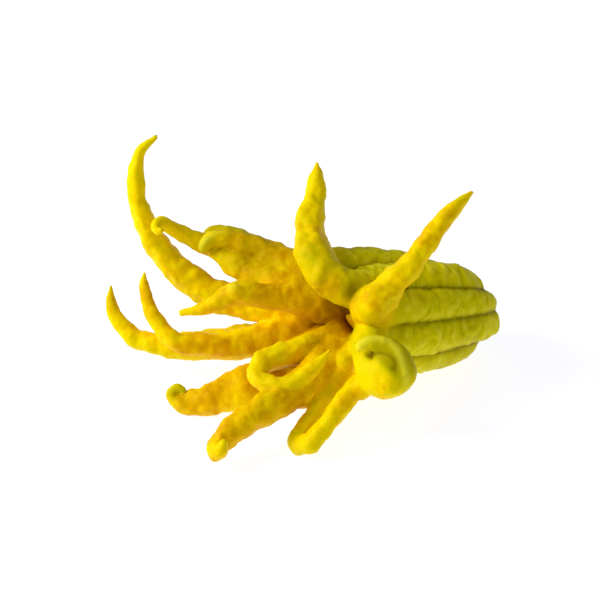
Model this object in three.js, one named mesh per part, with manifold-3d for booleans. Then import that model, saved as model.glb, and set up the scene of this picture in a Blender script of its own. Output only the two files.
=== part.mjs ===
// A fingered citron (Buddha's hand), lying on a table. The fruit is grown as one piece: ribs run
// from the stem along a fat body, and at the rim of the palm each rib parts from its neighbours
// and goes on as a finger. Millimetres, +Z up, the table at z = 0, the stem end towards +X.
import * as THREE from "three";
import { mergeVertices } from "three/addons/utils/BufferGeometryUtils.js";
import Module from "manifold-3d";

const wasm = await Module();
wasm.setup();

// The middle of the palm, where all the fingers meet, over the middle of the fruit's footprint.
const PALM = new THREE.Vector3(14.8, -14.1, 42.5);

// The body: its length from the rim of the palm to the stem end. Its axis drops towards the stem,
// and swings a little to the near side.
const BODY_LENGTH = 88;
const BODY_DROP = THREE.MathUtils.degToRad(8);
const BODY_SWING = THREE.MathUtils.degToRad(2);

// One rib: distance behind the rim of the palm, distance out from the body's axis, half-thickness.
const RIB = [
  [BODY_LENGTH, 13, 7],
  [84, 17, 9],
  [75, 20.5, 10.5],
  [61, 23.5, 11.8],
  [42, 25.5, 12.7],
  [22, 26.5, 13],
  [6, 26.5, 12.5],
];

// The flesh inside the ribs: distance behind the rim, half-thickness.
const CORE = [
  [82, 13],
  [68, 21],
  [45, 25],
  [22, 24],
  [9, 17],
];

// The limbs. "rib" is the angle of a limb's rib round the body, from straight up towards the near
// side, "reach" how much nearer the stem it goes than the others, "lift" how much prouder it stands
// at the rim, and "stout" how much thicker it is at the stem. A limb without a rib grows from
// inside the palm. Each point of "finger" is x, y and z from the middle of the palm, and the
// half-thickness there.
const LIMBS = [
  // broad green finger at the back, hooked down at its tip
  { rib: -28, reach: -18, lift: 5, finger: [[0, 28, 22, 12], [-8, 47, 15, 10.5], [-17, 61, 17, 8],
      [-40, 77, 29, 6.5], [-51, 82, 31, 5.2], [-57, 82, 28, 3]] },
  // stout finger standing straight up
  { rib: 16, reach: -10, stout: 5.5, finger: [[-2, -11, 28, 11], [-12, -6, 33, 11], [-16, 2, 39, 11],
      [-16, 13, 45, 10.5], [-13, 23, 50, 9], [-8, 32, 57, 8], [-1.5, 41, 65, 6], [4, 49.5, 73, 4.3],
      [7.5, 56, 79, 1.2]] },
  // slim finger turned back over the body
  { rib: 51, reach: 2, finger: [[3, -28, 26, 11], [9.5, -29, 30.5, 9.8], [17, -27.9, 37.2, 7.9],
      [27.5, -27.5, 44, 7.1], [43.7, -22.7, 58.7, 6], [62, -16.8, 70, 4.5], [74.6, -14.3, 76.6, 1.2]] },
  // fat finger curled up into a ball
  { rib: 86, reach: 3, stout: 0.8, finger: [[-4, -40, 5, 10], [-9, -56, -1, 11], [-7, -66, -2, 10.5],
      [0, -68, 1, 9], [1, -64, 9, 7.5], [-3, -59, 15, 6], [-11, -55, 18, 4.5], [-17, -53, 17, 3],
      [-19, -53, 14, 2]] },
  // hairpin finger: down to the table and back up behind the curled one
  { rib: 121, reach: -15, lift: -3, stout: 6.5, finger: [[-13, -30, -6, 8], [-21, -35, -11, 7],
      [-41, -46, -25, 5.6], [-51, -50, -32, 5.3], [-56, -54, -37, 6], [-55, -60, -35, 6],
      [-50, -63, -31, 6], [-33, -59, -18, 5.7], [-17, -51, -9, 5.7], [-8, -47, -6, 5]] },
  // near finger lying down to a blunt bent end
  { rib: 158, reach: -8, lift: -2.5, stout: 2, finger: [[-12, -17, -7, 9.5],
      [-27, -26, -9.5, 11], [-41, -33, -13.5, 11], [-71, -40, -18.5, 9], [-92, -44, -25, 7.5],
      [-100, -46, -29, 6.5], [-104, -49, -31, 6],
      [-104, -55, -28, 4], [-101, -55, -22, 2.5]] },
  // thick finger with a small curl at its end
  { rib: 190, finger: [[-14, 0, -10, 8.5], [-42, -1, -18, 10.2], [-64, 0, -27.5, 11],
      [-83, 2, -33, 10], [-91, 4, -35, 8.5], [-100, 8, -36, 6.5], [-105, 11, -35, 4.5],
      [-107, 14, -32, 3.5], [-104, 14, -28, 3], [-100, 10, -28, 2]] },
  // short finger under the others at the back, down to the table
  { rib: 221, finger: [[-8, 30, -21, 11.5], [-20, 42, -27, 10], [-33, 52, -32, 9],
      [-47, 61, -35, 8], [-62, 68, -36, 7], [-73, 72, -34, 5], [-79, 74, -30, 2.5]] },
  // forked finger: its longer arm, which curls up at the far left
  { rib: 252, finger: [[-20, 19, -12, 9], [-35, 26, -16, 10], [-54, 33, -20.5, 9.7],
      [-73, 41, -21, 9], [-92, 48, -22, 6.5], [-111, 62, -19, 6.1], [-119.5, 72.8, -8, 4.5],
      [-120.8, 79, 0, 3.2], [-119, 83, 10, 1]] },
  // its shorter arm
  { finger: [[-52, 32, -20, 6], [-63, 34, -19, 6.8], [-75, 34, -17, 7], [-93, 40, -13, 6],
      [-102, 53, -2, 5], [-103, 66, 14, 3], [-101, 71, 21, 1]] },
  // longest finger, which sweeps out low and then up
  { rib: 282, finger: [[-6, 22, 2, 11], [-20, 33, -2, 11], [-34, 43, -5, 10], [-60, 64, 0, 9.5],
      [-76, 77, 13, 9], [-88, 88, 32, 7.5], [-94, 95, 54, 6], [-93, 100, 69, 5],
      [-89.3, 102, 85, 3.5], [-78, 100.5, 95, 1.5]] },
  // slim finger with a knobbed, hooked end
  { rib: 310, finger: [[-24, 67, 8, 7.5], [-42, 74, 17, 7], [-66, 78, 33, 5.3], [-82, 80, 45, 4.2],
      [-87, 80, 48, 3.1], [-90.5, 77, 47, 2.9], [-90.5, 73, 46, 2.5], [-88, 70, 47.5, 1.8]] },
  // broad finger inside the palm, hooked at its tip
  { finger: [[-3, 5, 10, 10], [-9, 18, 14, 11], [-22, 41, 24, 10.5], [-38, 57, 31.5, 7],
      [-54, 67, 36, 5.2], [-62, 67, 34, 4], [-65, 65.5, 30.5, 2.5]] },
  // finger beneath it
  { finger: [[-6, 9, 5, 9.5], [-15, 20, 8, 9.5], [-34, 41, 16, 9.2], [-48, 56, 22.5, 7.2],
      [-59, 68, 27, 3.5]] },
  // small pointed finger in the middle of the palm
  { finger: [[3, 2, 2, 9], [-9, 6, 7, 8], [-21, 12, 11, 8], [-44, 19, 18, 7.5], [-62, 23, 22, 6.5],
      [-70, 25, 18, 5.2], [-78, 28, 13.5, 4.2], [-92.8, 34.4, 9.6, 2]] },
  // knob on its shoulder
  { finger: [[-59.8, 20.5, 22.5, 5], [-64.5, 21.2, 26, 4.4]] },
  // finger bent round like a hook, its tip back over its own root
  { finger: [[-4, -9, -2, 7.5], [-19, -10, -3, 8], [-34, -12, -4, 8], [-56, -14, -5, 7],
      [-64, -17, -7, 6.5], [-67, -22, -9, 5.5], [-65, -28, -10, 5.5], [-55, -38, -8, 5],
      [-40, -40, 0, 4], [-29, -39, 9, 1]] },
  // flesh that joins the roots of the upper fingers into one sheet
  { finger: [[-7, 8, 8, 10], [-20, 17, 15, 9.5], [-30, 29, 19, 8], [-39, 39, 21, 6],
      [-47, 42, 20, 4]] },
  // floor of the palm
  { finger: [[15, 5, -5, 12], [5, 2, -3, 8]] },
  // flesh inside the curled finger
  { finger: [[-4, -63, 6, 8.5], [-7, -56, 3, 9.5]] },
  // webs between the low fingers
  { finger: [[-28, -26, -13, 9], [-43, -34, -20, 8], [-52, -37, -22, 5.5]] },
  { finger: [[-62, -6, -30, 10], [-73, -4, -32.5, 9], [-82, -2, -34, 7.5]] },
  { finger: [[-21, -52, -9, 7], [-17, -58, -11, 5]] },
  // small tooth beside the turned-back finger
  { finger: [[3, -16, 5, 4], [-2, -14, 9, 3.2], [-5, -12, 11, 1.5]] },
];

// The skin: corners round a limb's section, rings this many half-thicknesses apart but never closer
// than the least step, and the sharpest turn from one ring to the next.
const SIDES = 10;
const RING_STEP = 0.85;
const LEAST_STEP = 3.2;
const SHARPEST_TURN = THREE.MathUtils.degToRad(32);
// Inside a bend, each corner still goes at least this far forward from the one before it.
const LEAST_ADVANCE = 0.5;
// Corners stand this much further out than a circle, so that a section keeps the circle's area.
const CORNER_OUT = Math.sqrt((2 * Math.PI) / SIDES / Math.sin((2 * Math.PI) / SIDES));
// Knobs make a limb swell and shrink by this share, in waves along it (radians a ring) and round it.
const KNOBS = 0.035;
const KNOB_WAVES = [
  { along: 1.9, round: 3 },
  { along: 0.7, round: -2 },
];
// A limb is joined to the fruit in runs of this many rings.
const RINGS_A_RUN = 10;
// Edges shorter than this are merged: after the joining, and more finely after the last cut.
const SHORT_EDGE = 0.05;
const SHORTEST_EDGE = 0.01;
// Corners nearer than this are one corner.
const SAME_PLACE = 1e-4;

// The table that presses the fruit's lowest points flat: a slab wider than the fruit.
const TABLE_SIZE = 400;
const TABLE_DEPTH = 40;

// The stem button left by the clippers: a flat calyx with a raised rim, and a cut stub on it.
const BUTTON_PLACE = 87;
const CALYX_RADIUS = 5.5;
const CALYX_EDGE_HEIGHT = 1.5;
const CALYX_RIM_RADIUS = 4.4;
const CALYX_RIM_HEIGHT = 2.5;
const CALYX_DIP_RADIUS = 3.1;
const CALYX_DIP_HEIGHT = 2;
const STUB_RADIUS = 2.4;
const STUB_FOOT_HEIGHT = 3.2;
const STUB_HEIGHT = 6;
const BUTTON_SIDES = 10;

// The pocket of the fruit that it sits in, which opens a little outwards.
const POCKET_GAP = 0.3;
const POCKET_FLARE = 2;
const POCKET_REACH = 30;
const POCKET_SIDES = 20;

const axisOut = new THREE.Vector3(
  Math.cos(BODY_DROP) * Math.cos(BODY_SWING),
  -Math.cos(BODY_DROP) * Math.sin(BODY_SWING),
  -Math.sin(BODY_DROP),
);
const bodyUp = new THREE.Vector3(Math.sin(BODY_DROP), 0, Math.cos(BODY_DROP));
const bodyNear = new THREE.Vector3().crossVectors(axisOut, bodyUp);

/** A point of the body: "behind" the rim along the axis, "out" from it at an angle round it. */
function bodyPoint(behind, angle, out) {
  const turn = THREE.MathUtils.degToRad(angle);
  return new THREE.Vector3()
    .addScaledVector(axisOut, behind)
    .addScaledVector(bodyUp, out * Math.cos(turn))
    .addScaledVector(bodyNear, out * Math.sin(turn));
}

/** The stations of a limb: its rib, if it has one, and then its finger, as [place, half-thickness]. */
function stations({ rib, reach = 0, lift = 0, stout = 0, finger }) {
  const ribPoint = ([behind, out, half]) => {
    const share = behind / BODY_LENGTH;
    const place = bodyPoint(behind + reach * share, rib, out + lift * (1 - share));
    return [place, half + stout * share ** 2];
  };
  const onRib = rib === undefined ? [] : RIB.map(ribPoint);
  const onFinger = finger.map(([x, y, z, half]) => [new THREE.Vector3(x, y, z), half]);
  return [...onRib, ...onFinger];
}

/** Catmull-Rom blend of four numbers at t, from b (t = 0) to c (t = 1). */
function blend(a, b, c, d, t) {
  const bend = 2 * a - 5 * b + 4 * c - d;
  const twist = 3 * b - a - 3 * c + d;
  return 0.5 * (2 * b + (c - a) * t + bend * t * t + twist * t * t * t);
}

/** Ring centres and half-thicknesses along the smooth spine through the stations. */
function spine(limb) {
  const first = [limb[0][0].clone().multiplyScalar(2).sub(limb[1][0]), limb[0][1]];
  const [before, end] = limb.slice(-2);
  const last = [end[0].clone().multiplyScalar(2).sub(before[0]), end[1]];
  const knots = [first, ...limb, last];
  const rings = [];
  for (let i = 1; i < knots.length - 2; i += 1) {
    const [a, b, c, d] = knots.slice(i - 1, i + 3);
    const turn = c[0].clone().sub(a[0]).angleTo(d[0].clone().sub(b[0]));
    const step = Math.max(LEAST_STEP, (RING_STEP * (b[1] + c[1])) / 2);
    const steps = Math.max(1, Math.round(b[0].distanceTo(c[0]) / step), Math.ceil(turn / SHARPEST_TURN));
    for (let j = 0; j < steps; j += 1) {
      const t = j / steps;
      const along = (axis) => blend(a[0][axis], b[0][axis], c[0][axis], d[0][axis], t);
      const centre = new THREE.Vector3(along("x"), along("y"), along("z"));
      rings.push({ centre, half: blend(a[1], b[1], c[1], d[1], t) });
    }
  }
  rings.push({ centre: end[0].clone(), half: end[1] });
  return rings;
}

/**
 * Puts a ring of corners round each ring centre, square to the spine, turning as little as it can.
 * On the inside of a tight bend a corner still goes forward from the one before it, so that the
 * skin creases there and never folds through itself.
 */
function skin(rings, seed) {
  const side = new THREE.Vector3(0.1, 0.2, 1);
  rings.forEach((ring, i) => {
    const ahead = rings[Math.min(i + 1, rings.length - 1)].centre;
    const behind = rings[Math.max(i - 1, 0)].centre;
    const tangent = ahead.clone().sub(behind).normalize();
    side.addScaledVector(tangent, -side.dot(tangent)).normalize();
    const up = new THREE.Vector3().crossVectors(tangent, side);
    ring.corners = Array.from({ length: SIDES }, (_, k) => {
      const angle = (2 * Math.PI * k) / SIDES;
      const swells = KNOB_WAVES.map(({ along, round }) => KNOBS * Math.sin(along * i + round * angle + seed));
      const out = ring.half * CORNER_OUT * swells.reduce((sum, swell) => sum + swell, 1);
      const corner = ring.centre
        .clone()
        .addScaledVector(side, out * Math.cos(angle))
        .addScaledVector(up, out * Math.sin(angle));
      const advance = i > 0 ? corner.clone().sub(rings[i - 1].corners[k]).dot(tangent) : LEAST_ADVANCE;
      return corner.addScaledVector(tangent, Math.max(0, LEAST_ADVANCE - advance));
    });
  });
  return rings;
}

/** A closed solid through a run of rings, its ends shut by fans. */
function solidThrough(rings) {
  const last = rings.length - 1;
  const points = rings.flatMap((ring) => ring.corners);
  points.push(rings[0].centre, rings[last].centre);
  const triangles = [];
  for (let k = 0; k < SIDES; k += 1) {
    const next = (k + 1) % SIDES;
    for (let i = 0; i < last; i += 1) {
      const low = i * SIDES;
      const high = low + SIDES;
      triangles.push(low + k, low + next, high + next);
      triangles.push(low + k, high + next, high + k);
    }
    triangles.push(points.length - 2, next, k);
    triangles.push(points.length - 1, last * SIDES + k, last * SIDES + next);
  }
  return new wasm.Manifold(
    new wasm.Mesh({
      numProp: 3,
      vertProperties: new Float32Array(points.flatMap((point) => point.toArray())),
      triVerts: new Uint32Array(triangles),
    }),
  );
}

/** Joins a limb onto a solid in runs that meet at shared rings, so that a curl can touch itself. */
function addLimb(solid, limb, seed) {
  const rings = skin(spine(limb), seed);
  let grown = solid;
  for (let i = 0; i < rings.length - 1; i += RINGS_A_RUN) {
    const run = solidThrough(rings.slice(i, i + RINGS_A_RUN + 1));
    grown = grown ? grown.add(run) : run;
  }
  return grown;
}

/** A closed three.js geometry as a solid that can be joined and cut. */
function solidOf(geometry) {
  const bare = geometry.index ? geometry.toNonIndexed() : geometry.clone();
  bare.deleteAttribute("normal");
  bare.deleteAttribute("uv");
  const merged = mergeVertices(bare, SAME_PLACE);
  return new wasm.Manifold(
    new wasm.Mesh({
      numProp: 3,
      vertProperties: new Float32Array(merged.attributes.position.array),
      triVerts: new Uint32Array(merged.index.array),
    }),
  );
}

/** A solid as a three.js geometry. */
function geometryOf(solid) {
  const mesh = solid.getMesh();
  const geometry = new THREE.BufferGeometry();
  geometry.setAttribute("position", new THREE.BufferAttribute(new Float32Array(mesh.vertProperties), 3));
  geometry.setIndex(new THREE.BufferAttribute(new Uint32Array(mesh.triVerts), 1));
  geometry.computeVertexNormals();
  return geometry;
}

/** The outer surface of a solid: hollows sealed among the limbs are filled, and loose scraps dropped. */
function filled(solid) {
  return solid.decompose().reduce((best, shell) => (shell.volume() > best.volume() ? shell : best));
}

/** A turned shape from an outline of [radius, height], standing on the body's stem end. */
function turnedAtStem(outline, sides) {
  const geometry = new THREE.LatheGeometry(outline.map(([x, y]) => new THREE.Vector2(x, y)), sides);
  geometry.applyQuaternion(new THREE.Quaternion().setFromUnitVectors(new THREE.Vector3(0, 1, 0), axisOut));
  const foot = bodyPoint(BUTTON_PLACE, 0, 0).add(PALM);
  return geometry.translate(foot.x, foot.y, foot.z);
}

/** The whole fruit: core and limbs grown together, flat where it rests, with a pocket at the stem. */
function makeCitron() {
  const core = CORE.map(([behind, half]) => [bodyPoint(behind, 0, 0), half]);
  let fruit = addLimb(null, core, 0);
  LIMBS.forEach((limb, i) => {
    fruit = addLimb(fruit, stations(limb), i + 1);
  });
  fruit = fruit.simplify(SHORT_EDGE).translate(PALM.toArray());
  const table = new THREE.BoxGeometry(TABLE_SIZE, TABLE_SIZE, TABLE_DEPTH).translate(0, 0, -TABLE_DEPTH / 2);
  const wall = CALYX_RADIUS + POCKET_GAP;
  const pocket = [
    [0, -POCKET_GAP],
    [wall, -POCKET_GAP],
    [wall + POCKET_FLARE, POCKET_REACH],
    [0, POCKET_REACH],
  ];
  fruit = fruit.subtract(solidOf(table)).subtract(solidOf(turnedAtStem(pocket, POCKET_SIDES)));
  return geometryOf(filled(fruit).simplify(SHORTEST_EDGE));
}

/** The stem button: a low calyx with a raised rim, and the stub of the stalk cut off square. */
function makeStemButton() {
  const outline = [
    [0, 0],
    [CALYX_RADIUS, 0],
    [CALYX_RADIUS, CALYX_EDGE_HEIGHT],
    [CALYX_RIM_RADIUS, CALYX_RIM_HEIGHT],
    [CALYX_DIP_RADIUS, CALYX_DIP_HEIGHT],
    [STUB_RADIUS, STUB_FOOT_HEIGHT],
    [STUB_RADIUS, STUB_HEIGHT],
    [0, STUB_HEIGHT],
  ];
  return turnedAtStem(outline, BUTTON_SIDES);
}

const peel = new THREE.MeshStandardMaterial({ color: 0xe6bd0a, roughness: 0.5, metalness: 0 });
peel.name = "peel";
const wood = new THREE.MeshStandardMaterial({ color: 0x6f6a3a, roughness: 0.8, metalness: 0 });
wood.name = "wood";

const citron = new THREE.Mesh(makeCitron(), peel);
citron.name = "citron";
const stemButton = new THREE.Mesh(makeStemButton(), wood);
stemButton.name = "stem_button";

const fingeredCitron = new THREE.Group();
fingeredCitron.name = "fingered_citron";
fingeredCitron.add(citron, stemButton);

export default fingeredCitron;
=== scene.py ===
import math

import bpy
import numpy as np
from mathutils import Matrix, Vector


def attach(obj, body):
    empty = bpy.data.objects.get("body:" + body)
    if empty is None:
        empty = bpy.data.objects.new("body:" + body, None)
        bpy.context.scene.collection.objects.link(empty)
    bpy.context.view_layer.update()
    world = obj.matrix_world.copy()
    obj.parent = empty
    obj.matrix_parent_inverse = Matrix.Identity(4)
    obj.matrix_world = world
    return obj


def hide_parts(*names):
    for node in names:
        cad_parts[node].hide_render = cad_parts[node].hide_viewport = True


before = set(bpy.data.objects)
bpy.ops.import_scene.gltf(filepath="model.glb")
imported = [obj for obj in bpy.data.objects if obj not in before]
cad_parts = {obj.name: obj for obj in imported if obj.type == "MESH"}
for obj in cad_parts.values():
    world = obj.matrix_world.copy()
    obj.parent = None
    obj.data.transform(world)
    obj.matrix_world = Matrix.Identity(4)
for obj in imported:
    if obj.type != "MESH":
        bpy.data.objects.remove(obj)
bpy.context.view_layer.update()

scene = bpy.context.scene

# The camera: a portrait lens a little above the fruit, looking down at it from its left front.
# It stands as far off as a close studio shot does, so that the near fingers loom only a little.
AIM = Vector((-0.00736, 0.00257, 0.05341))
AZIMUTH = math.radians(-25)
ELEVATION = math.radians(30)
DISTANCE = 0.85
LENS = 85.0
SENSOR_WIDTH = 36.0

camera = bpy.data.objects.new("camera", bpy.data.cameras.new("camera"))
scene.collection.objects.link(camera)
camera.data.lens = LENS
camera.data.sensor_width = SENSOR_WIDTH
back = Vector((
    math.sin(AZIMUTH) * math.cos(ELEVATION),
    -math.cos(AZIMUTH) * math.cos(ELEVATION),
    math.sin(ELEVATION),
))
camera.location = AIM + back * DISTANCE
camera.rotation_euler = (math.pi / 2 - ELEVATION, 0, AZIMUTH)
scene.camera = camera

# The fruit: a fat body of ribs round a core of flesh. At the rim of the palm each rib parts from
# its neighbours and goes on as a finger. It is one thick waxy peel, grown as one piece.
MM = 0.001
PALM = np.array([14.8, -14.1, 42.5])
BODY_DROP = math.radians(8)
BODY_SWING = math.radians(2)
BODY_LENGTH = 88.0
BODY_OUT = np.array([
    math.cos(BODY_DROP) * math.cos(BODY_SWING),
    -math.cos(BODY_DROP) * math.sin(BODY_SWING),
    -math.sin(BODY_DROP),
])
BODY_UP = np.array([math.sin(BODY_DROP), 0, math.cos(BODY_DROP)])
BODY_NEAR = np.cross(BODY_OUT, BODY_UP)

# One rib: distance behind the rim of the palm, distance out from the body's axis, half-thickness.
RIB = [
    [BODY_LENGTH, 13, 7], [84, 17, 9], [75, 20.5, 10.5], [61, 23.5, 11.8],
    [42, 25.5, 12.7], [22, 26.5, 13], [6, 26.5, 12.5],
]
# The flesh inside the ribs: distance behind the rim, half-thickness.
CORE = [[82, 13], [68, 21], [45, 25], [22, 24], [9, 17]]

# The limbs. "rib" is the angle of the limb's rib round the body from straight up, "reach" how much
# nearer the stem it goes, "lift" how much prouder it stands at the rim, and "stout" how much thicker
# it is at the stem. "green" runs from -1, amber, through 0, yellow, to 1, green: at the stem, before
# the rim, at the rim, from half way out, and at the tip. A finger's points are x, y, z,
# half-thickness, in millimetres from the palm.
LIMBS = [
    # broad green finger at the back, hooked down at its tip
    dict(rib=-28, reach=-18, lift=5, green=(0.95, 0.95, 0.8, 0.45, 0.35), finger=[
        [0, 28, 22, 12], [-8, 47, 15, 10.5], [-17, 61, 17, 8], [-40, 77, 29, 6.5],
        [-51, 82, 31, 5.2], [-57, 82, 28, 3]]),
    # stout finger standing straight up
    dict(rib=16, reach=-10, stout=5.5, green=(0.95, 0.95, 0.95, 0, 0.1), finger=[
        [-2, -11, 28, 11], [-12, -6, 33, 11], [-16, 2, 39, 11], [-16, 13, 45, 10.5],
        [-13, 23, 50, 9], [-8, 32, 57, 8], [-1.5, 41, 65, 6], [4, 49.5, 73, 4.3],
        [7.5, 56, 79, 1.2]]),
    # slim finger turned back over the body
    dict(rib=51, reach=2, green=(0.95, 0.9, -0.05, -0.12, 0.1), finger=[
        [3, -28, 26, 11], [9.5, -29, 30.5, 9.8], [17, -27.9, 37.2, 7.9], [27.5, -27.5, 44, 7.1],
        [43.7, -22.7, 58.7, 6], [62, -16.8, 70, 4.5], [74.6, -14.3, 76.6, 1.2]]),
    # fat finger curled up into a ball
    dict(rib=86, reach=3, stout=0.8, green=(0.95, 0.95, 0.6, 0.1, 0.2), finger=[
        [-4, -40, 5, 10], [-9, -56, -1, 11], [-7, -66, -2, 10.5], [0, -68, 1, 9], [1, -64, 9, 7.5],
        [-3, -59, 15, 6], [-11, -55, 18, 4.5], [-17, -53, 17, 3], [-19, -53, 14, 2]]),
    # hairpin finger: down to the table and back up behind the curled one
    dict(rib=121, reach=-15, lift=-3, stout=6.5, green=(0.95, 0.8, 0.12, 0.05, 0.03), finger=[
        [-13, -30, -6, 8], [-21, -35, -11, 7], [-41, -46, -25, 5.6], [-51, -50, -32, 5.3],
        [-56, -54, -37, 6], [-55, -60, -35, 6], [-50, -63, -31, 6], [-33, -59, -18, 5.7],
        [-17, -51, -9, 5.7], [-8, -47, -6, 5]]),
    # near finger lying down to a blunt bent end
    dict(rib=158, reach=-8, lift=-2.5, stout=2, green=(0.95, 0.7, -0.15, -0.35, 0), finger=[
        [-12, -17, -7, 9.5], [-27, -26, -9.5, 11], [-41, -33, -13.5, 11], [-71, -40, -18.5, 9],
        [-92, -44, -25, 7.5], [-100, -46, -29, 6.5], [-104, -49, -31, 6], [-104, -55, -28, 4],
        [-101, -55, -22, 2.5]]),
    # thick finger with a small curl at its end
    dict(rib=190, green=(0.95, 0.7, -0.42, -0.45, 0.8), finger=[
        [-14, 0, -10, 8.5], [-42, -1, -18, 10.2], [-64, 0, -27.5, 11], [-83, 2, -33, 10],
        [-91, 4, -35, 8.5], [-100, 8, -36, 6.5], [-105, 11, -35, 4.5], [-107, 14, -32, 3.5],
        [-104, 14, -28, 3], [-100, 10, -28, 2]]),
    # short finger under the others at the back, down to the table
    dict(rib=221, green=(0.95, 0.7, 0.4, 0.2, 0.1), finger=[
        [-8, 30, -21, 11.5], [-20, 42, -27, 10], [-33, 52, -32, 9], [-47, 61, -35, 8],
        [-62, 68, -36, 7], [-73, 72, -34, 5], [-79, 74, -30, 2.5]]),
    # forked finger: its longer arm, which curls up at the far left
    dict(rib=252, green=(0.95, 0.6, -0.15, 0, 0.15), finger=[
        [-20, 19, -12, 9], [-35, 26, -16, 10], [-54, 33, -20.5, 9.7], [-73, 41, -21, 9],
        [-92, 48, -22, 6.5], [-111, 62, -19, 6.1], [-119.5, 72.8, -8, 4.5], [-120.8, 79, 0, 3.2],
        [-119, 83, 10, 1]]),
    # its shorter arm
    dict(green=(-0.15, -0.1, -0.2, -0.22, -0.25), finger=[
        [-52, 32, -20, 6], [-63, 34, -19, 6.8], [-75, 34, -17, 7], [-93, 40, -13, 6],
        [-102, 53, -2, 5], [-103, 66, 14, 3], [-101, 71, 21, 1]]),
    # longest finger, which sweeps out low and then up
    dict(rib=282, green=(0.95, 0.6, -0.1, 0, 0.45), finger=[
        [-6, 22, 2, 11], [-20, 33, -2, 11], [-34, 43, -5, 10], [-60, 64, 0, 9.5], [-76, 77, 13, 9],
        [-88, 88, 32, 7.5], [-94, 95, 54, 6], [-93, 100, 69, 5], [-89.3, 102, 85, 3.5],
        [-78, 100.5, 95, 1.5]]),
    # slim finger with a knobbed, hooked end
    dict(rib=310, green=(0.95, 0.9, 0.15, 0.03, 0.12), finger=[
        [-24, 67, 8, 7.5], [-42, 74, 17, 7], [-66, 78, 33, 5.3], [-82, 80, 45, 4.2],
        [-87, 80, 48, 3.1], [-90.5, 77, 47, 2.9], [-90.5, 73, 46, 2.5], [-88, 70, 47.5, 1.8]]),
    # broad finger inside the palm, hooked at its tip
    dict(green=(-0.1, -0.1, -0.1, -0.15, 0.4), finger=[
        [-3, 5, 10, 10], [-9, 18, 14, 11], [-22, 41, 24, 10.5], [-38, 57, 31.5, 7],
        [-54, 67, 36, 5.2], [-62, 67, 34, 4], [-65, 65.5, 30.5, 2.5]]),
    # finger beneath it
    dict(green=(-0.1, -0.1, -0.1, 0, 0.1), finger=[
        [-6, 9, 5, 9.5], [-15, 20, 8, 9.5], [-34, 41, 16, 9.2], [-48, 56, 22.5, 7.2],
        [-59, 68, 27, 3.5]]),
    # small pointed finger in the middle of the palm
    dict(green=(-0.25, -0.2, -0.18, -0.2, 0.05), finger=[
        [3, 2, 2, 9], [-9, 6, 7, 8], [-21, 12, 11, 8], [-44, 19, 18, 7.5], [-62, 23, 22, 6.5],
        [-70, 25, 18, 5.2], [-78, 28, 13.5, 4.2], [-92.8, 34.4, 9.6, 2]]),
    # knob on its shoulder
    dict(green=(0.05, 0.05, 0.05, 0.05, 0.05), finger=[
        [-59.8, 20.5, 22.5, 5], [-64.5, 21.2, 26, 4.4]]),
    # finger bent round like a hook, its tip back over its own root
    dict(green=(-0.2, -0.12, 0, 0.08, -0.12), finger=[
        [-4, -9, -2, 7.5], [-19, -10, -3, 8], [-34, -12, -4, 8], [-56, -14, -5, 7],
        [-64, -17, -7, 6.5], [-67, -22, -9, 5.5], [-65, -28, -10, 5.5], [-55, -38, -8, 5],
        [-40, -40, 0, 4], [-29, -39, 9, 1]]),
    # flesh that joins the roots of the upper fingers into one sheet
    dict(green=(-0.1, -0.1, -0.1, -0.1, -0.1), finger=[
        [-7, 8, 8, 10], [-20, 17, 15, 9.5], [-30, 29, 19, 8], [-39, 39, 21, 6], [-47, 42, 20, 4]]),
    # floor of the palm
    dict(green=(-0.5, -0.5, -0.5, -0.5, -0.5), finger=[
        [15, 5, -5, 12], [5, 2, -3, 8]]),
    # flesh inside the curled finger
    dict(green=(0.05, 0.05, 0.05, 0.05, 0.05), finger=[
        [-4, -63, 6, 8.5], [-7, -56, 3, 9.5]]),
    # webs between the low fingers
    dict(green=(-0.15, -0.15, -0.15, -0.15, -0.15), finger=[
        [-28, -26, -13, 9], [-43, -34, -20, 8], [-52, -37, -22, 5.5]]),
    dict(green=(-0.15, -0.15, -0.15, -0.15, -0.15), finger=[
        [-62, -6, -30, 10], [-73, -4, -32.5, 9], [-82, -2, -34, 7.5]]),
    dict(green=(-0.15, -0.15, -0.15, -0.15, -0.15), finger=[
        [-21, -52, -9, 7], [-17, -58, -11, 5]]),
    # small tooth beside the turned-back finger
    dict(green=(-0.15, -0.15, -0.15, -0.15, -0.15), finger=[
        [3, -16, 5, 4], [-2, -14, 9, 3.2], [-5, -12, 11, 1.5]]),
]
SPINE_STEP = 1.3
TUBE_SIDES = 24
LEAST_TUBE = 1.7
LEAST_HALF = 0.7
TIP_PULL = 0.7
# The colour stops before the rim and before the tip lie this far from them.
BEFORE_RIM = 16
BEFORE_TIP = 20


def body_point(behind, angle, out):
    """A point of the body: axis times behind, plus out along a spoke at the angle from straight up."""
    turn = math.radians(angle)
    return BODY_OUT * behind + (BODY_UP * math.cos(turn) + BODY_NEAR * math.sin(turn)) * out


def stations(limb):
    """A limb's stations as rows of x, y, z, half-thickness: its rib, if it has one, then its finger."""
    rows = []
    if "rib" in limb:
        for behind, out, half in RIB:
            share = behind / BODY_LENGTH
            back = behind + limb.get("reach", 0) * share
            proud = out + limb.get("lift", 0) * (1 - share)
            thick = half + limb.get("stout", 0) * share**2
            rows.append([*body_point(back, limb["rib"], proud), thick])
    return np.array(rows + limb["finger"], float)


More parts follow.
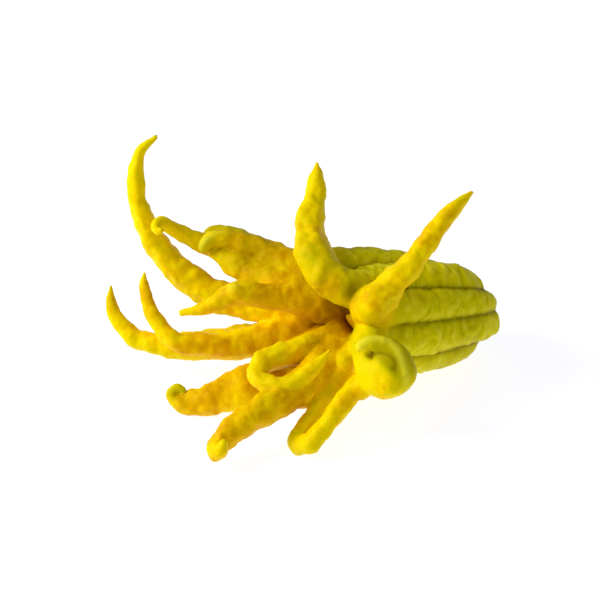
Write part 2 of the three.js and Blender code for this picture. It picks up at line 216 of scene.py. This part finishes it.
def spine(knots):
    """
    Fine samples of a limb: the uniform Catmull-Rom cubic through its stations, from each knot b to
    the next knot c: half of 2b + (c-a)t + (2a-5b+4c-d)t^2 + (3b-a-3c+d)t^3. The ends are drawn in,
    because a ball of the last half-thickness rounds them off.
    """
    knots = knots.copy()
    for end, inner in ((0, 1), (-1, -2)):
        inward = knots[inner, :3] - knots[end, :3]
        knots[end, :3] += inward / np.linalg.norm(inward) * knots[end, 3] * TIP_PULL
    first, last = 2 * knots[0] - knots[1], 2 * knots[-1] - knots[-2]
    first[3], last[3] = knots[0, 3], knots[-1, 3]
    knots = np.vstack([first, knots, last])
    runs = []
    for a, b, c, d in zip(knots, knots[1:], knots[2:], knots[3:]):
        count = max(2, round(np.linalg.norm(c[:3] - b[:3]) / SPINE_STEP))
        t = np.arange(count)[:, None] / count
        bend, twist = 2 * a - 5 * b + 4 * c - d, 3 * b - a - 3 * c + d
        runs.append(0.5 * (2 * b + (c - a) * t + bend * t**2 + twist * t**3))
    return np.vstack([*runs, knots[-2:-1]])


def frames(centres):
    """Tangents along a line, and two sides square to them, carried along with as little turn as can be."""
    tangents = np.gradient(centres, axis=0)
    tangents /= np.linalg.norm(tangents, axis=1)[:, None]
    sides = np.empty_like(tangents)
    side = np.array([0.1, 0.2, 1.0])
    for i, tangent in enumerate(tangents):
        side = side - tangent * (side @ tangent)
        side /= np.linalg.norm(side)
        sides[i] = side
    return tangents, sides, np.cross(tangents, sides)


class Limb:
    """One grown limb: the samples of its spine, their frames, and how far along it each one is."""

    def __init__(self, rows, green, ribbed):
        line = spine(rows)
        self.centres = line[:, :3]
        self.halves = np.maximum(line[:, 3], LEAST_HALF)
        self.tangents, self.sides, self.ups = frames(self.centres)
        steps = np.linalg.norm(np.diff(self.centres, axis=0), axis=1)
        self.arc = np.concatenate([[0], np.cumsum(steps)])
        rim = len(RIB) - 1 if ribbed else 0
        gap = np.linalg.norm(self.centres - rows[rim, :3], axis=1)
        self.rim = self.arc[gap.argmin()]
        rim, tip = max(self.rim, 2), self.arc[-1]
        stops = [0, max(rim - BEFORE_RIM, 1), rim, (rim + tip) / 2, max(tip - BEFORE_TIP, rim + 1), tip]
        self.green = np.interp(self.arc, np.sort(stops), (*green[:4], green[3], green[4]))
        self.ribbed = ribbed

    def tube(self):
        """The limb as a closed tube: rings of its half-thickness round its spine, with pointed ends."""
        halves = np.maximum(self.halves, LEAST_TUBE)[:, None, None]
        angle = np.linspace(0, 2 * math.pi, TUBE_SIDES, endpoint=False)[None, :, None]
        spokes = np.cos(angle) * self.sides[:, None] + np.sin(angle) * self.ups[:, None]
        rings = (self.centres[:, None] + spokes * halves).reshape(-1, 3)
        ends = [
            self.centres[0] - self.tangents[0] * halves[0, 0],
            self.centres[-1] + self.tangents[-1] * halves[-1, 0],
        ]
        count = len(self.centres)
        ring = np.arange(count - 1)[:, None] * TUBE_SIDES
        low = np.arange(TUBE_SIDES)[None]
        high = (low + 1) % TUBE_SIDES
        quads = np.stack([ring + low, ring + high, ring + high + TUBE_SIDES, ring + low + TUBE_SIDES], -1)
        start = count * TUBE_SIDES
        top = (count - 1) * TUBE_SIDES
        fan = np.arange(TUBE_SIDES)
        turned = (fan + 1) % TUBE_SIDES
        fans = [[start, b, a] for a, b in zip(fan, turned)]
        fans += [[start + 1, top + a, top + b] for a, b in zip(fan, turned)]
        return np.vstack([rings, ends]), quads.reshape(-1, 4).tolist() + [[int(i) for i in f] for f in fans]

    def near(self, points):
        """
        For each point: the distance from the limb's skin, the direction it grows in, the place along
        the spine, and the angle round it. The nearest sample is the one whose ball is nearest, and
        the distance is then taken to the tapered segments on its two sides.
        """
        c = self.centres.astype(np.float32)
        p = points.astype(np.float32)
        apart = np.sqrt(np.maximum((p**2).sum(1)[:, None] + (c**2).sum(1) - 2 * p @ c.T, 0))
        best = (apart - self.halves.astype(np.float32)).argmin(1)
        found = None
        for step in (-1, 1):
            other = np.clip(best + step, 0, len(c) - 1)
            along = self.centres[other] - self.centres[best]
            square = np.maximum((along**2).sum(1), 1e-9)
            t = np.clip(((points - self.centres[best]) * along).sum(1) / square, 0, 1)
            spot = self.centres[best] + along * t[:, None]
            half = self.halves[best] + (self.halves[other] - self.halves[best]) * t
            arrow = points - spot
            length = np.maximum(np.linalg.norm(arrow, axis=1), 1e-6)
            arc = self.arc[best] + (self.arc[other] - self.arc[best]) * t
            now = [length - half, arrow / length[:, None], arc, half]
            if found is None:
                found = now
            else:
                closer = now[0] < found[0]
                found = [
                    np.where(closer[:, None] if new.ndim == 2 else closer, new, old)
                    for new, old in zip(now, found)
                ]
        distance, direction, arc, half = found
        angle = np.arctan2((direction * self.ups[best]).sum(1), (direction * self.sides[best]).sum(1))
        return distance, direction, arc, half, angle


core_rows = np.array([[*body_point(behind, 0, 0), half] for behind, half in CORE])
grown = [Limb(core_rows, (0.8, 0.8, 0.5, 0.3, 0.2), False)]
grown += [Limb(stations(limb), limb["green"], "rib" in limb) for limb in LIMBS]

# The limbs' tubes are fused into one skin of even faces by a voxel remesh.
VOXEL = 1.21
CHUNK = 40000


def fused(limbs):
    """The outer skin of the limbs' tubes as one closed mesh, in millimetres from the palm."""
    places, faces = [], []
    for limb in limbs:
        spots, sides = limb.tube()
        start = sum(len(p) for p in places)
        faces += [[i + start for i in side] for side in sides]
        places.append(spots)
    mesh = bpy.data.meshes.new("tubes")
    mesh.from_pydata(np.vstack(places), [], faces)
    tubes = bpy.data.objects.new("tubes", mesh)
    scene.collection.objects.link(tubes)
    remesh = tubes.modifiers.new("skin", "REMESH")
    remesh.mode = "VOXEL"
    remesh.voxel_size = VOXEL
    skin = bpy.data.meshes.new_from_object(tubes.evaluated_get(bpy.context.evaluated_depsgraph_get()))
    bpy.data.objects.remove(tubes)
    bpy.data.meshes.remove(mesh)
    return skin


def coordinates(mesh):
    """A mesh's vertices as rows of x, y, z."""
    flat = np.empty(len(mesh.vertices) * 3, np.float32)
    mesh.vertices.foreach_get("co", flat)
    return flat.reshape(-1, 3).astype(float)


def bell(points, centre, radius):
    """1 at the centre and less round it, as exp(-(distance / radius)^2)."""
    return np.exp(-((np.linalg.norm(points - np.array(centre), axis=1) / radius) ** 2))


# How widely limbs melt into each other on the body, in mm, and where they melt more widely: by how
# much more, round which point, and within which radius.
MELT = 0.4
MELT_MORE = [
    (1.1, [0, 0, 0], 30),  # the palm
    (2.2, [-28, 20, 14], 20),  # the sheet of flesh under the upper fingers
    (2.2, [-2, -62, 4], 11),  # the curled finger
    (2.0, [-66, -8, -26], 16),  # the web under the thick finger
]


def melt(points):
    """How widely limbs melt into each other at each point: MELT, plus the bells of MELT_MORE."""
    return sum((more * bell(points, centre, radius) for more, centre, radius in MELT_MORE), MELT)


def field(points):
    """
    The joined skin's distance at each point, the way it rises, and each limb's share: the soft
    least value, minus k times the log of the sum of exp(-distance / k), and its shares.
    """
    chunks = np.array_split(points, max(1, len(points) // CHUNK))
    rows = []
    for limb in grown:
        parts = zip(*(limb.near(chunk) for chunk in chunks))
        rows.append([np.concatenate(part) for part in parts])
    distance = np.stack([row[0] for row in rows], 1)
    k = melt(points)
    least = distance.min(1)
    share = np.exp(-(distance - least[:, None]) / k[:, None])
    total = share.sum(1)
    share /= total[:, None]
    rise = sum(row[1] * share[:, i, None] for i, row in enumerate(rows))
    return least - k * np.log(total), rise, share, distance, rows


def projected(points, rounds):
    """Moves points onto the joined skin: each round, back down the slope by the distance."""
    for _ in range(rounds):
        level, rise, *_rest = field(points)
        slope = np.maximum((rise**2).sum(1), 0.2)
        points = points - rise * (np.clip(level / slope, -3, 3))[:, None]
    return points


def evened(points, edges, rounds):
    """Slides points half way towards the middle of their neighbours, which evens out the faces."""
    count = len(points)
    links = np.bincount(edges.ravel(), minlength=count)
    for _ in range(rounds):
        sums = [
            np.bincount(edges[:, 0], points[edges[:, 1], axis], count)
            + np.bincount(edges[:, 1], points[edges[:, 0], axis], count)
            for axis in range(3)
        ]
        points = points + (np.stack(sums, 1) / links[:, None] - points) * 0.5
    return points


def waves(points, pitch, seed, count=28):
    """Soft noise of unit spread: the sum of plane waves in random directions, of about one pitch."""
    draw = np.random.default_rng(seed)
    ways = draw.normal(size=(3, count))
    ways /= np.linalg.norm(ways, axis=0)
    pitches = pitch * draw.uniform(0.7, 1.4, count)
    phases = draw.uniform(0, 2 * math.pi, count)
    return np.sin(points @ (ways * 2 * math.pi / pitches) + phases).sum(1) * math.sqrt(2 / count)


skin = fused(grown)
edges = np.empty(len(skin.edges) * 2, np.int32)
skin.edges.foreach_get("vertices", edges)
edges = edges.reshape(-1, 2)
places = projected(coordinates(skin), 2)
places = projected(evened(places, edges, 2), 2)
_, rise, share, distance, rows = field(places)
normal = rise / np.linalg.norm(rise, axis=1)[:, None]

# The peel's relief, in mm: soft lumps and flat facets all over, crosswise wrinkles on the ribs, and
# knobs, lengthwise furrows and crosswise creases on the fingers. Each call of waves gives the pitch
# in mm, then the seed.
LUMP = 0.3
FACET = 0.26
WRINKLE = 0.2
WRINKLE_PITCH = 3.3
KNOB = 0.3
FURROW = 0.2
CREASE = 0.32
CREASE_PITCH = 8.5
swell = LUMP * (waves(places, 22, 1) + 0.4 * waves(places, 9, 2))
swell += FACET * (np.abs(waves(places, 13, 5)) + 0.5 * np.abs(waves(places, 7, 6)) - 1.2)
sway = waves(places, 14, 4)
# The wrinkles are deepest where the stout finger leaves the body, and their painted highlight and shade are
# strongest there.
pinched = 1 + 1.3 * bell(places, [8, -16, 40], 17)
# How high each wrinkle stands, which the peel's colour turns into painted highlight on ridges and painted
# shade in furrows.
streak = np.zeros(len(places))
for i, limb in enumerate(grown):
    _, _, arc, half, angle = rows[i]
    turned = arc + 1.3 * sway + 0.9 * np.sin(2 * angle + i)
    if limb.ribbed:
        on_rib = np.clip((limb.rim + 10 - arc) / 7, 0, 1) * np.clip(arc / 12, 0, 1)
        unrolled = np.stack([turned, 0.16 * half * np.cos(angle), 0.16 * half * np.sin(angle)], 1)
        wrinkle = 0.7 * waves(unrolled, WRINKLE_PITCH, 10 + i, 40) + 0.5 * waves(places, 7, 60 + i)
        swell = swell + share[:, i] * on_rib * WRINKLE * pinched * wrinkle
        streak = streak + share[:, i] * on_rib * pinched * wrinkle
    on_finger = np.clip((arc - limb.rim - 4) / 14, 0, 1)
    furrow = np.cos(5 * angle + 0.9 * sway + i) * np.clip(half / 8, 0, 1)
    across = np.exp(-((np.sin(math.pi * turned / CREASE_PITCH) / 0.24) ** 2))
    across = across * np.clip(waves(places, 13, 40 + i), 0, 1.2)
    knobs = waves(places, 10, 80 + i) + 0.5 * np.abs(waves(places, 6, 95 + i))
    swell = swell + share[:, i] * on_finger * (FURROW * furrow - CREASE * across + KNOB * knobs)


def welt(curve, radius):
    """1 on a line through a few places and less beside it, as exp(-(distance / radius)^2)."""
    bends = np.array(curve, float)
    nearest = np.full(len(places), np.inf)
    for a, b in zip(bends, bends[1:]):
        t = np.clip((places - a) @ (b - a) / ((b - a) @ (b - a)), 0, 1)
        nearest = np.minimum(nearest, np.linalg.norm(places - a - t[:, None] * (b - a), axis=1))
    return np.exp(-((nearest / radius) ** 2))


# The curled finger's crest, from its tip over the top and down its back, the slit under its tip, and the
# broad finger's upper edge, from its tip along its top. The crest and the edge stand a little proud and are
# painted pale, as painted highlight; the slit is cut in and painted dark, as painted shade.
crest = welt([
    [-19, -55, 16], [-19, -55, 19], [-14, -55, 21], [-8, -58, 22], [-3, -61, 20], [-1, -66, 17],
    [0, -71, 12], [0, -75, 7], [-1, -77, 1],
], 2.0)
slit = welt([[-18, -54, 13], [-15.5, -52.5, 11.5], [-13, -54, 10.5], [-12.5, -59, 10]], 0.9)
top_edge_and_highlight = welt([[-67, 66, 30], [-64, 65, 37], [-57, 66, 40], [-51, 65, 41], [-45, 60, 40]], 1.5)
top_edge_and_highlight = top_edge_and_highlight * bell(places, [-64, 66, 36], 11)
CREST_HEIGHT = 0.5
EDGE_HEIGHT = 0.4
SLIT_DEPTH = 0.9
# The curled finger is smoother than the rest, and slim tips have little relief.
FULL_RELIEF_HALF = 7
smooth = 1 - 0.85 * bell(places, [-2, -63, 4], 18)
half_here = sum(share[:, i] * rows[i][3] for i in range(len(grown)))
thin = smooth * np.clip(half_here / FULL_RELIEF_HALF, 0.15, 1)
relief = swell * thin + CREST_HEIGHT * crest + EDGE_HEIGHT * top_edge_and_highlight - SLIT_DEPTH * slit
places = places + normal * relief[:, None]

# The pocket that the stem button sits in, and the flats that the fruit rests on.
BUTTON_PLACE = 87.0
CALYX_RADIUS = 5.5
POCKET_GAP = 0.3
behind = places @ BODY_OUT
off_axis = np.linalg.norm(places - behind[:, None] * BODY_OUT, axis=1)
floor_of_pocket = BUTTON_PLACE - POCKET_GAP + np.clip(off_axis - CALYX_RADIUS - POCKET_GAP, 0, None) * 1.3
cut = np.clip(behind - floor_of_pocket, 0, None) * (behind > BODY_LENGTH / 2)
places = places - cut[:, None] * BODY_OUT
places = places + PALM
places[:, 2] = np.maximum(places[:, 2], 0)

skin.vertices.foreach_set("co", (places * MM).astype(np.float32).ravel())
skin.update()
skin.shade_smooth()


def note(mesh, name, values):
    """Keeps one number for each vertex on the mesh, for its material to read."""
    mesh.attributes.new(name, "FLOAT", "POINT").data.foreach_set("value", values.astype(np.float32))


from_palm = places - PALM
order = np.sort(distance, axis=1)


def around(centre, radius):
    """The bell round a place of the finished skin."""
    return bell(from_palm, centre, radius)


def strongest(bells):
    """At each point the greatest of some bells, each given as strength, centre and radius."""
    return np.maximum.reduce([strength * around(centre, radius) for strength, centre, radius in bells])


# How green the peel is: its limbs' own green, plus painted shade, more green on the sides turned away from
# the light.
green = sum(share[:, i] * np.interp(rows[i][2], limb.arc, limb.green) for i, limb in enumerate(grown))
away_from_light_shade = np.clip(normal @ [0.8, 0.42, -0.42], 0, 1)
green = green + 0.24 * away_from_light_shade

# The curled finger is yellow in front. Behind a soft line down its face, its flank, turned away from the
# light, is painted olive:
# a little of it its own green, most of it painted shade.
ball = np.clip(1.7 * around([-3, -62, 6], 16), 0, 1)
behind_line = (from_palm - [-11, -66, 8]) @ [0.86, 0.28, 0.42]
flank_shade = np.clip((behind_line + 1.5) / 4, 0, 1)
green = green * (1 - ball) + ball * (0.12 + 0.66 * flank_shade)

# The hollow of the palm and the places under the bent finger and along the small pointed finger are painted
# amber as painted shade, the warm shade of light bounced about in the hollow. The root of the stout finger
# is amber peel of its own.
amber_and_warm_shade = strongest([
    (1, [-16, 8, 6], 32),  # the hollow
    (0.7, [-40, -12, -12], 18),  # under the bent finger
    (0.7, [-42, 14, 21], 12),  # along the small pointed finger
    (1.3, [-17, -12, 33], 9),  # where the stout finger turns up
])
amber_and_warm_shade = amber_and_warm_shade * (1 - 0.9 * around([-26, 13, -8], 12))
green = green - 0.36 * amber_and_warm_shade * np.clip(1.2 - green, 0, 1) - 0.75 * around([-18, -12, 34], 11)

# Where the peel is painted browner: mostly painted shade, in hollows, under and between fingers, on faces
# turned from the light and on the low ribs, and partly its own duskier tone.
dusk = strongest([
    (1.4, [-36, 50, 31], 22),  # the top of the broad finger
    (1.0, [-49, 62, 39], 8),  # behind its hook
    (0.8, [-22, 30, 30], 12),  # between it and the stout finger
    (0.5, [-18, 24, 58], 8),  # the stout finger's outer side
    (0.7, [-22, 4, 48], 15),  # its outer bend
    (0.9, [-20, -8, 36], 15),  # its root
    (1.8, [-8, -20, 33], 7),  # beside the turned-back finger
    (0.9, [-20, 16, 24], 9),  # the roots of the upper fingers
    (0.3, [-8, 8, 8], 20),  # the hollow of the palm
    (0.6, [-48, 17, 22], 8),  # the small pointed finger, before its knob
    (0.5, [-70, 20, 21], 6),  # and past it
    (1.3, [-47, -14, -13], 9),  # the hollow of the bent finger
    (0.9, [-26, -21, 2], 8),  # beside its root
    (0.5, [-60, -38, -14], 18),  # the near finger's top
    (0.6, [-54, 24, -23], 12),  # under the fork
    (0.8, [-106, 12, -31], 8),  # the thick finger's curl
    (0.6, [-120, 78, 3], 9),  # the tip of the fork's longer arm
    (0.5, [60, -34, -23], 24),  # the low ribs
])
dusk = dusk * (1 - top_edge_and_highlight)
# The curled finger's flank, turned from the light, takes painted shade as well.
shaded_flank = 0.85 * ball * flank_shade * np.clip((from_palm[:, 2] + 4) / 9, 0.1, 1)
dusk = np.maximum(dusk, shaded_flank * (1 - crest))

# Where two limbs lie equally near is a crease, brown on the body. The crest, the broad finger's top edge
# and the knob on the small finger's shoulder are painted pale, as painted highlight.
CREASE_WIDTH = 1.2
second_nearer = order[:, 1] - order[:, 0]
knob_highlight = around([-65, 20.5, 29], 3.5)
crest_highlight = crest * np.clip((from_palm[:, 2] + 3) / 6, 0.3, 1)
note(skin, "green", green)
note(skin, "crease", np.exp(-second_nearer / CREASE_WIDTH) * np.clip(order[:, 0] + 1.5, 0, 1))
# The deepest hollow of the palm and the slit under the curled tip are painted dark umber, as painted shade.
note(skin, "deep", np.maximum(around([-3, -6, 4], 15), 0.6 * slit))
note(skin, "crest", np.maximum(crest_highlight, np.maximum(top_edge_and_highlight, 0.6 * knob_highlight)))
note(skin, "dusk", dusk)
note(skin, "streak", 0.5 + 0.3 * streak)

citron = bpy.data.objects.new("citron_fruit", skin)
scene.collection.objects.link(citron)


class Shade:
    """A number, colour or vector in a material. Arithmetic on it adds Math nodes."""

    def __init__(self, tree, socket=None):
        self.tree = tree
        self.socket = socket

    def node(self, kind, settings=None, sockets=None, out=0):
        """Adds one node: its type, its settings or a ramp's stops, then its sockets' values or links."""
        made = self.tree.nodes.new("ShaderNode" + kind)
        for name, value in (settings or {}).items():
            if name == "stops":
                ramp = made.color_ramp.elements
                while len(ramp) < len(value):
                    ramp.new(0.5)
                for stop, (place, colour) in zip(ramp, value):
                    stop.position, stop.color = place, colour
            else:
                setattr(made, name, value)
        for name, value in (sockets or {}).items():
            if isinstance(value, Shade):
                self.tree.links.new(value.socket, made.inputs[name])
            else:
                made.inputs[name].default_value = value
        return Shade(self.tree, made.outputs[out] if len(made.outputs) else None)

    def math(self, operation, *values):
        return self.node("Math", {"operation": operation}, dict(enumerate(values)))

    def __add__(self, other):
        return self.math("ADD", self, other)

    def __sub__(self, other):
        return self.math("SUBTRACT", self, other)

    def __rsub__(self, other):
        return self.math("SUBTRACT", other, self)

    def __mul__(self, other):
        return self.math("MULTIPLY", self, other)

    __radd__ = __add__
    __rmul__ = __mul__

    def step(self, low, high):
        """0 below low, 1 above high, and a smooth rise between them."""
        limits = {"Value": self, "From Min": low, "From Max": high}
        return self.node("MapRange", {"interpolation_type": "SMOOTHSTEP"}, limits)

    def blend(self, low, high):
        """The colour low where this is 0, and high where it is 1."""
        return self.node("Mix", {"data_type": "RGBA"}, {0: self, 6: low, 7: high}, 2)


def paint(red, green, blue):
    """A colour from its 0 to 255 display values, as the linear light that materials take."""
    shares = [value / 255 for value in (red, green, blue)]
    return (*(s / 12.92 if s <= 0.04045 else ((s + 0.055) / 1.055) ** 2.4 for s in shares), 1)


def material(name):
    """An empty material, and a Shade to start its nodes from."""
    made = bpy.data.materials.new(name)
    made.use_nodes = True
    made.node_tree.nodes.clear()
    return made, Shade(made.node_tree)


def finished(start, surface):
    """Ends a material: its surface goes to the output."""
    start.node("OutputMaterial", None, {"Surface": surface})


# The peel's colours as it ripens, with their places on a scale from 0, over-ripe, to 1, unripe.
RIPENING = [
    (0.0, paint(196, 130, 0)),
    (0.2, paint(222, 166, 0)),
    (0.35, paint(240, 192, 0)),
    (0.5, paint(251, 219, 0)),
    (0.66, paint(232, 213, 0)),
    (0.84, paint(218, 208, 0)),
    (1.0, paint(221, 212, 0)),
]
# Olive brown is the tint of dusky peel and of painted shade.
OLIVE_BROWN = paint(118, 90, 0)
# Groove is the dark olive of the furrows' painted shade and of the creases.
GROOVE = paint(96, 82, 0)
# Umber is the painted shade of the deepest hollows.
UMBER = paint(128, 62, 0)
# A pale yellow for painted highlights.
HIGHLIGHT_YELLOW = paint(240, 232, 60)

peel, start = material("citron_peel")
spot = start.node("TexCoord", out="Object")


def noise(scale, detail=2, rough=0.5):
    """Noise on the object's own coordinates, of so many features a metre."""
    grain = {"Vector": spot, "Scale": scale, "Detail": detail, "Roughness": rough}
    return start.node("TexNoise", None, grain)


def kept(name):
    """A number kept on the mesh for each vertex."""
    return start.node("Attribute", {"attribute_name": name}, out="Fac")


# Patches about 13 mm wide, mottling of 4 mm and a fine grain of 1 mm.
patches = noise(75, 2)
mottle = noise(260, 3, 0.6)
fine = noise(900, 2)
# How much of each tint the peel takes at most. The dusk tint is mostly painted shade, the hollow and furrow
# tints are painted shade, and the ridge and crest tints are painted highlight.
DUSK_AND_SHADE_TINT = 0.42
HOLLOW_SHADE_TINT = 0.95
RIDGE_HIGHLIGHT_TINT = 0.4
FURROW_SHADE_TINT = 0.2
CREASE_TINT = 0.9
CREST_HIGHLIGHT_TINT = 0.6
unripe = kept("green") + (patches - 0.5) * 1.3 + (mottle - 0.5) * 0.7
on_body = kept("green").step(0.55, 0.9)
# On the ribs the wrinkles' ridges are painted yellower, as painted highlight, and their furrows greener, as
# painted shade.
unripe = unripe + (kept("streak") - 0.5) * on_body * -0.35
colour = start.node("ValToRGB", {"stops": RIPENING}, {"Fac": unripe * 0.5 + 0.5})
# Olive brown where the dusk mask lies: mostly painted shade, partly dusky peel.
colour = (kept("dusk") * DUSK_AND_SHADE_TINT).blend(colour, OLIVE_BROWN)
# Painted shade: dark umber in the deepest hollow and in the slit.
colour = (kept("deep") * HOLLOW_SHADE_TINT).blend(colour, UMBER)
# Painted highlight on the wrinkles' ridges.
colour = (kept("streak").step(0.5, 0.95) * on_body * RIDGE_HIGHLIGHT_TINT).blend(colour, HIGHLIGHT_YELLOW)
# Painted shade in the wrinkles' furrows.
colour = ((0.5 - kept("streak")).step(0, 0.45) * on_body * FURROW_SHADE_TINT).blend(colour, GROOVE)
colour = (kept("crease") * on_body * CREASE_TINT).blend(colour, GROOVE)
# Painted highlight on the crest, the broad finger's top edge and the knob.
colour = (kept("crest") * CREST_HIGHLIGHT_TINT).blend(colour, HIGHLIGHT_YELLOW)
# The oil glands are pits a little over 1 mm apart.
gland_cells = {"Vector": spot, "Scale": 800.0, "Smoothness": 0.6}
pits = start.node("TexVoronoi", {"feature": "SMOOTH_F1"}, gland_cells, "Distance").step(0.05, 0.6)
height = pits * 0.5 + fine * 0.3 + mottle * 0.6
bumps = start.node("Bump", None, {"Strength": 0.35, "Distance": 0.0004, "Height": height})
skin_surface = start.node("BsdfPrincipled", None, {
    "Base Color": colour,
    "Roughness": 0.36 + mottle * 0.16,
    "Normal": bumps,
    "Subsurface Weight": 0.12,
    "Subsurface Radius": (1.0, 0.6, 0.05),
    "Subsurface Scale": 0.002,
    "Specular IOR Level": 0.05,
    "Specular Tint": (1.0, 0.85, 0.25, 1),
})
finished(start, skin_surface)
skin.materials.clear()
skin.materials.append(peel)

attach(citron, "root")
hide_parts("citron")

# The stem button: the dry calyx, a thick disc with five blunt lobes, and the stub of the stalk that
# the clippers left on it, cut off square. It sits in a shallow pocket at the stem end.
BUTTON_RINGS = 60
BUTTON_SIDES = 120
# Its outline, as radius and height in millimetres, from the middle of its foot to that of the cut.
BUTTON_OUTLINE = np.array([
    [0, 0], [4.6, 0], [5.3, 0.5], [5.3, 1.4], [4.8, 2.2], [4.2, 2.5], [3.5, 2.2], [3.0, 2.2],
    [2.5, 2.9], [2.3, 4.4], [2.3, 5.5], [2.1, 5.9], [1.6, 5.8], [0, 5.6],
])


def turned_button():
    """
    A surface turned round the body's axis: the outline, sampled evenly along its length, with five
    lobes in the calyx, cos(5 angle), and fine fibres in the stub, cos(17 angle) and cos(11 angle).
    """
    lengths = np.concatenate([[0], np.cumsum(np.linalg.norm(np.diff(BUTTON_OUTLINE, axis=0), axis=1))])
    along = np.linspace(0, lengths[-1], BUTTON_RINGS)[:, None]
    radius = np.interp(along, lengths, BUTTON_OUTLINE[:, 0])
    height = np.interp(along, lengths, BUTTON_OUTLINE[:, 1])
    angle = np.linspace(0, 2 * math.pi, BUTTON_SIDES, endpoint=False)[None]
    calyx = np.clip((radius - 2.6) / 2, 0, 1)
    fibres = np.cos(17 * angle) + 0.7 * np.cos(11 * angle + 1)
    wide = radius * (1 + 0.035 * calyx * (np.cos(5 * angle) - 1) + 0.02 * (1 - calyx) * fibres)
    lobes = 0.25 * calyx * np.clip(height, 0, 1) * np.cos(5 * angle)
    tall = height + lobes + 0.08 * (height > 5) * fibres * radius / 2
    spokes = BODY_UP * np.cos(angle)[..., None] + BODY_NEAR * np.sin(angle)[..., None]
    return PALM + BODY_OUT * (BUTTON_PLACE + tall)[..., None] + spokes * wide[..., None]


grid = turned_button()
inner = grid[1:-1]
rings = len(inner)
first = (np.arange(rings - 1) * BUTTON_SIDES)[:, None]
here = np.arange(BUTTON_SIDES)
there = (here + 1) % BUTTON_SIDES
above = first + BUTTON_SIDES
quads = np.stack([first + here, first + there, above + there, above + here], -1)
foot, cut_face = rings * BUTTON_SIDES, rings * BUTTON_SIDES + 1
last_ring = (rings - 1) * BUTTON_SIDES
caps = [[foot, int(b), int(a)] for a, b in zip(here, there)]
caps += [[cut_face, int(last_ring + a), int(last_ring + b)] for a, b in zip(here, there)]
button_mesh = bpy.data.meshes.new("stem_button_wood")
corners = np.vstack([inner.reshape(-1, 3), grid[0, :1], grid[-1, :1]]) * MM
button_mesh.from_pydata(corners, [], quads.reshape(-1, 4).tolist() + caps)
button_mesh.shade_smooth()
rise_on_axis = (corners / MM - PALM) @ BODY_OUT - BUTTON_PLACE
off_stub = np.linalg.norm(corners / MM - PALM - (rise_on_axis + BUTTON_PLACE)[:, None] * BODY_OUT, axis=1)
# The cut face is pale wood, and the calyx is greener than the stub.
CUT_HEIGHT = 5.2
STUB_RADIUS = 2.2
CALYX_FROM = 3
on_top = np.clip((rise_on_axis - CUT_HEIGHT) / 0.3, 0, 1)
note(button_mesh, "cut", on_top * np.clip((STUB_RADIUS - off_stub) / 0.3, 0, 1))
note(button_mesh, "rim", np.clip((off_stub - CALYX_FROM) / 1.5, 0, 1))
button = bpy.data.objects.new("stem_button_wood", button_mesh)
scene.collection.objects.link(button)

wood, start = material("stalk_wood")
spot = start.node("TexCoord", out="Object")
grain = noise(1100, 4)
blotch = noise(500, 2)
bark = (grain * 0.7 + blotch * 0.5).step(0.4, 0.8).blend(paint(98, 86, 40), paint(146, 138, 66))
bark = (kept("rim") * 0.5).blend(bark, paint(150, 148, 62))
bark = kept("cut").blend(bark, grain.step(0.35, 0.7).blend(paint(176, 150, 104), paint(206, 188, 140)))
woody = start.node("Bump", None, {"Strength": 0.6, "Distance": 0.0003, "Height": grain + blotch * 0.5})
finished(start, start.node("BsdfPrincipled", None, {
    "Base Color": bark,
    "Roughness": 0.72 + grain * 0.15,
    "Normal": woody,
    "Specular IOR Level": 0.2,
}))
button_mesh.materials.append(wood)

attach(button, "root")
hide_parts("stem_button")

# The floor and the light: a wide sheet of white board under a big soft light from the upper left,
# in a white room.
floor_mesh = bpy.data.meshes.new("floor")
FLOOR = 3.0
floor_corners = [(-FLOOR, -FLOOR, 0), (FLOOR, -FLOOR, 0), (FLOOR, FLOOR, 0), (-FLOOR, FLOOR, 0)]
floor_mesh.from_pydata(floor_corners, [], [(0, 1, 2, 3)])
floor = bpy.data.objects.new("floor", floor_mesh)
scene.collection.objects.link(floor)
board, start = material("white_board")
finished(start, start.node("BsdfPrincipled", None, {
    "Base Color": (0.33, 0.33, 0.36, 1),
    "Roughness": 0.9,
    "Emission Color": (0.955, 0.955, 1, 1),
    "Emission Strength": 0.88,
}))
floor_mesh.materials.append(board)

ROOM_LIGHT = 0.36
room = bpy.data.worlds.new("room")
room.use_nodes = True
room.node_tree.nodes["Background"].inputs["Color"].default_value = (1, 1, 1, 1)
room.node_tree.nodes["Background"].inputs["Strength"].default_value = ROOM_LIGHT
room.cycles_visibility.glossy = False
scene.world = room

KEY_PLACE = Vector((-1.0, 0.38, 0.78))
KEY_AIM = Vector((0, 0, 0.04))
KEY_SIZE = 0.6
KEY_POWER = 14.5
key = bpy.data.objects.new("key", bpy.data.lights.new("key", "AREA"))
key.data.size = KEY_SIZE
key.data.energy = KEY_POWER
key.location = KEY_PLACE
key.rotation_euler = (KEY_AIM - KEY_PLACE).to_track_quat("-Z", "Y").to_euler()
scene.collection.objects.link(key)

scene.view_settings.view_transform = "Standard"
